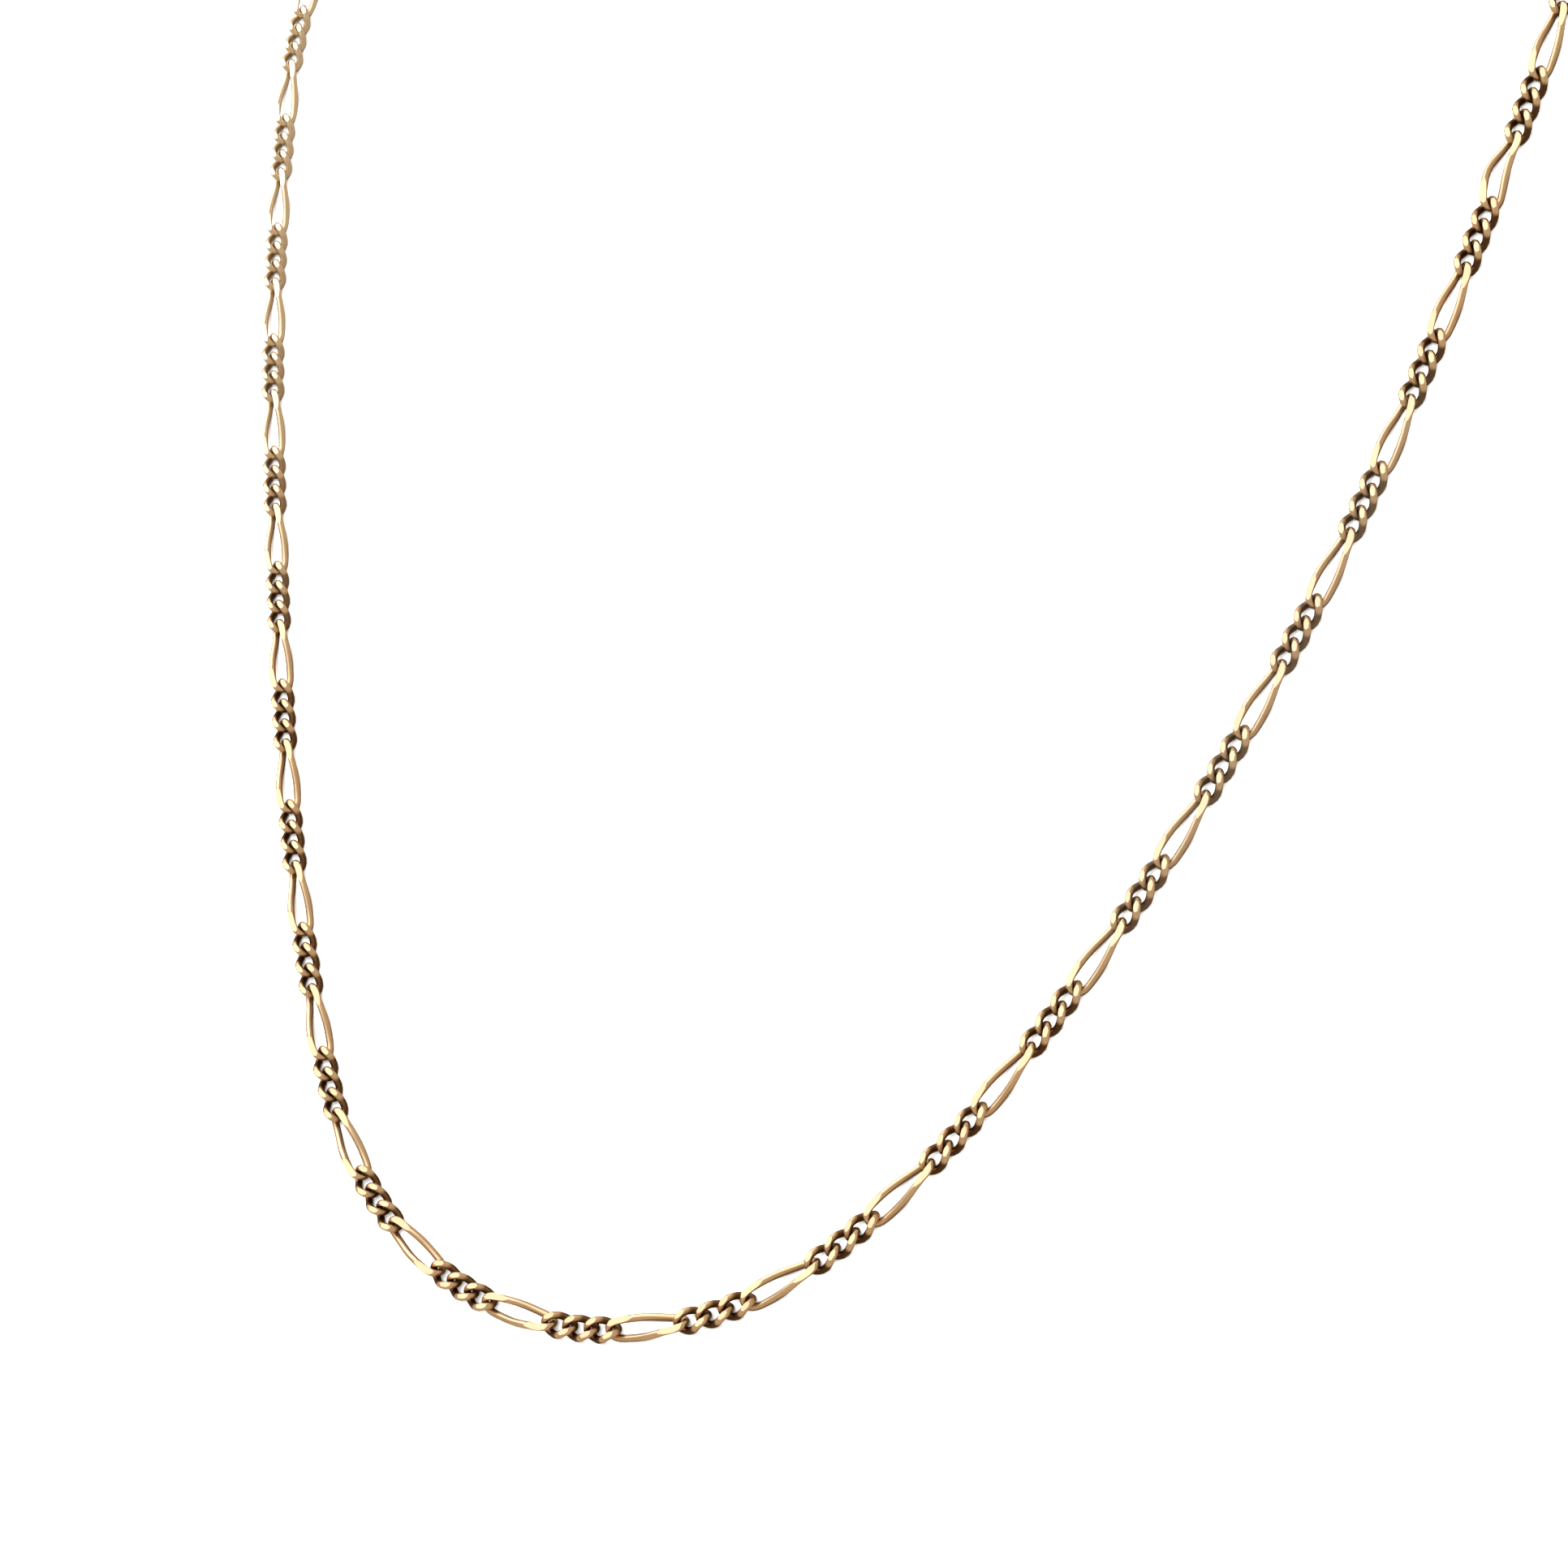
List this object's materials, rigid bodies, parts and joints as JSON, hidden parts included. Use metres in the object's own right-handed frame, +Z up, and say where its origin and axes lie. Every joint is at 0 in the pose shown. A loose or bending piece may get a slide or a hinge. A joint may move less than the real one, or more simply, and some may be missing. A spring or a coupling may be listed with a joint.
{
  "type": "figaro neck chain",
  "caption": "Fine gold neck chain in a figaro pattern: one long twisted oval link, then short ones, filed flat, closed by a plain clasp and lying flat in a U-shaped loop.",
  "frame": {"origin": "middle of the clasp's underside, on the surface that the chain lies on", "axes": "+X along the clasp, +Y from the foot of the U to the clasp, +Z up from the surface"},
  "size_m": [0.1231, 0.1728, 0.0011],
  "materials": {
    "gold": "polished"
  },
  "bodies": {
    "root": {"chain_left": "gold", "chain_right": "gold", "clasp": "gold"}
  },
  "joints": []
}
